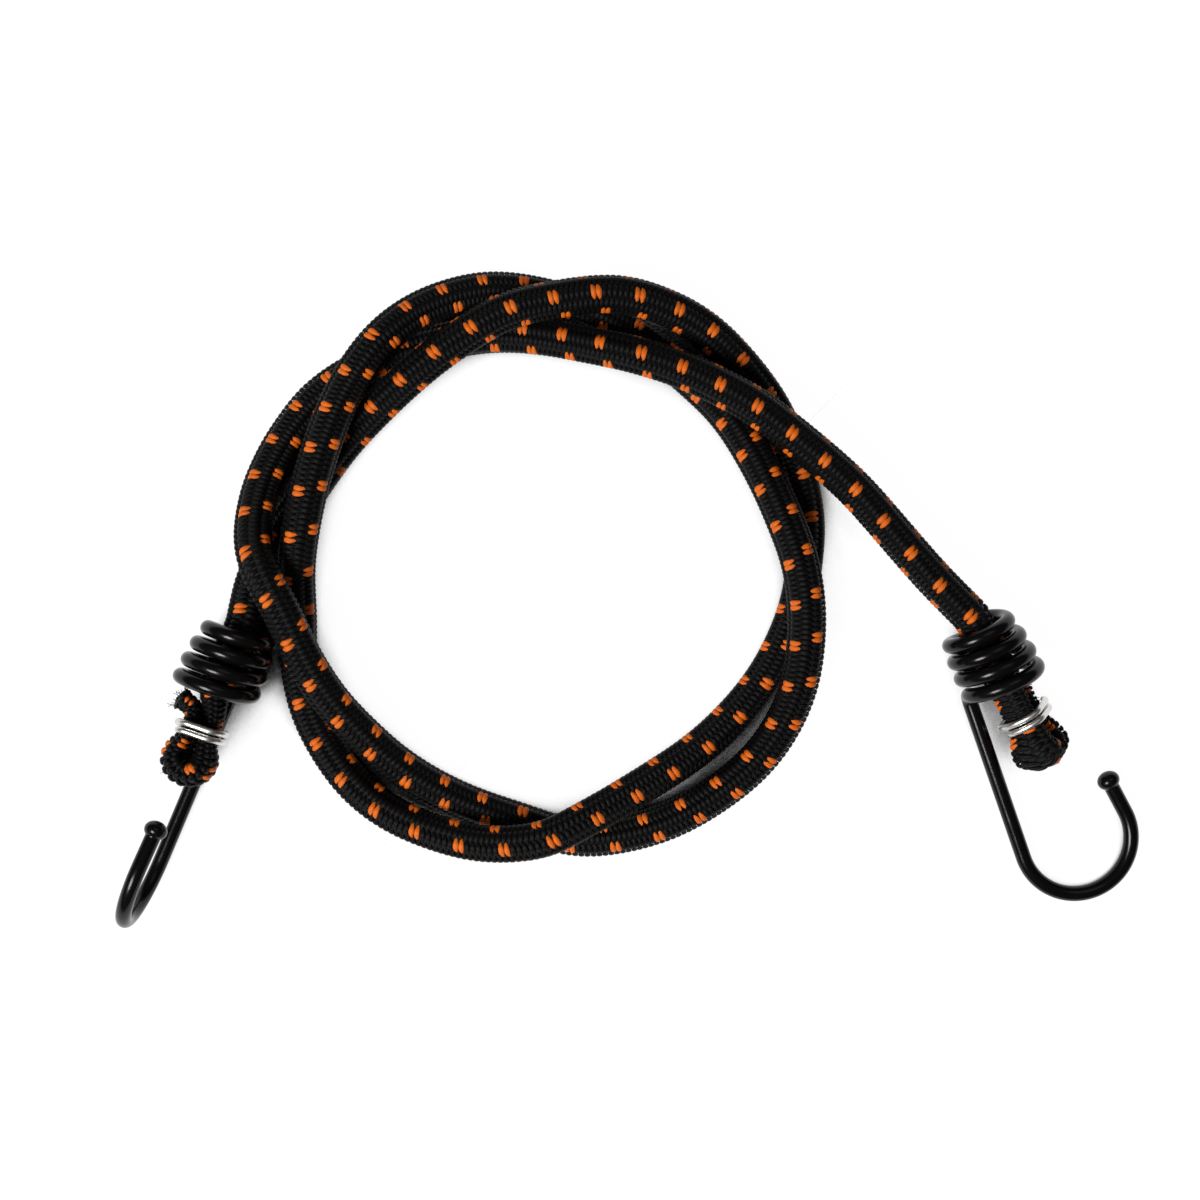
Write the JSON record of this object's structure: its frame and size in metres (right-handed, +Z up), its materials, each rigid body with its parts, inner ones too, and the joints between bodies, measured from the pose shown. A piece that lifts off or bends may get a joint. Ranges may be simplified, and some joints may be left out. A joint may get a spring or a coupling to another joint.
{
  "type": "bungee cord",
  "caption": "Braided elastic cord lying in a loose coil, with a coiled wire hook on each end and a folded, ring-clamped stop behind each hook.",
  "frame": {"origin": "under the middle of the part's box, on the surface that the cord lies on", "axes": "+Z up from that surface, +X from the left hook to the right hook, +Y away from the hooks' crooks"},
  "size_m": [0.2096, 0.1344, 0.0264],
  "materials": {
    "braid": "black braided yarn with pairs of orange stitches",
    "latex": "raw pale latex",
    "dipped_wire": "smooth black plastic dip, satin gloss",
    "bright_wire": "bright drawn steel wire"
  },
  "bodies": {
    "cord": {"braided_sleeve": "braid", "latex_strand_1": "latex", "latex_strand_2": "latex", "latex_strand_3": "latex", "latex_strand_4": "latex", "latex_strand_5": "latex", "latex_strand_6": "latex", "latex_strand_7": "latex", "left_clamp_ring": "bright_wire", "right_clamp_ring": "bright_wire"},
    "left_hook": {"left_hook": "dipped_wire"},
    "right_hook": {"right_hook": "dipped_wire"}
  },
  "joints": [
    {"name": "left_hook_swivel", "type": "hinge", "parent": "cord", "child": "left_hook", "pos_m": [-0.08594, -0.01915, 0.00955], "axis": [-0.3866, -0.9153, 0.1132], "continuous": true},
    {"name": "right_hook_swivel", "type": "hinge", "parent": "cord", "child": "right_hook", "pos_m": [0.07521, -0.01716, 0.00945], "axis": [0.451, -0.8851, -0.1149], "continuous": true}
  ]
}
